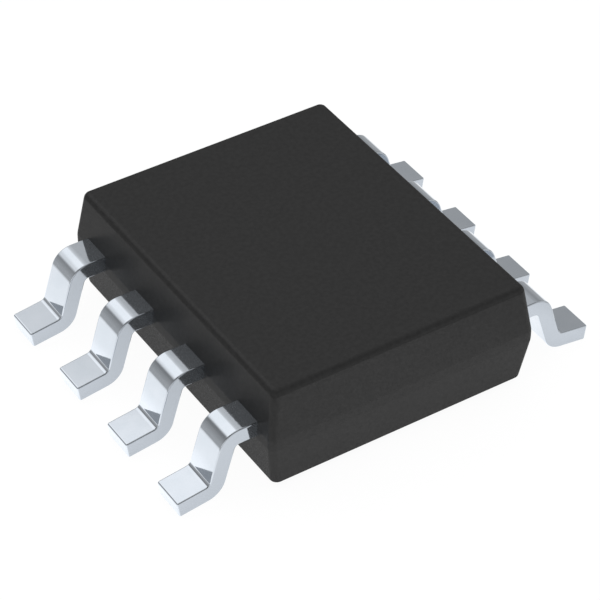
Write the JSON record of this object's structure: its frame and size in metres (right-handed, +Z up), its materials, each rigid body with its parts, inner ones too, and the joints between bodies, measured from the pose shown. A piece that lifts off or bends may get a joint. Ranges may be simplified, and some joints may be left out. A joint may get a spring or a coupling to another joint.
{
  "type": "soic chip",
  "caption": "Narrow small-outline integrated circuit: black moulded body with drafted walls and a row of gull-wing leads along each long side.",
  "frame": {"origin": "middle of the footprint, on the board that the toes of the leads stand on", "axes": "+X across the two rows of leads, +Y along them, +Z up, away from the board"},
  "size_m": [0.0064, 0.005, 0.0016],
  "materials": {
    "mould_compound": "satin",
    "tin_plate": "polished",
    "frame_copper": "satin",
    "die_glue": "satin",
    "silicon": "polished",
    "gold_wire": "gloss"
  },
  "bodies": {
    "root": {"mould_body": "mould_compound", "lead_1": "tin_plate", "lead_2": "tin_plate", "lead_3": "tin_plate", "lead_4": "tin_plate", "lead_5": "tin_plate", "lead_6": "tin_plate", "lead_7": "tin_plate", "lead_8": "tin_plate", "die_pad": "frame_copper", "die_attach": "die_glue", "die": "silicon", "bond_wire_1": "gold_wire", "bond_wire_2": "gold_wire", "bond_wire_3": "gold_wire", "bond_wire_4": "gold_wire", "bond_wire_5": "gold_wire", "bond_wire_6": "gold_wire", "bond_wire_7": "gold_wire", "bond_wire_8": "gold_wire"}
  },
  "joints": []
}
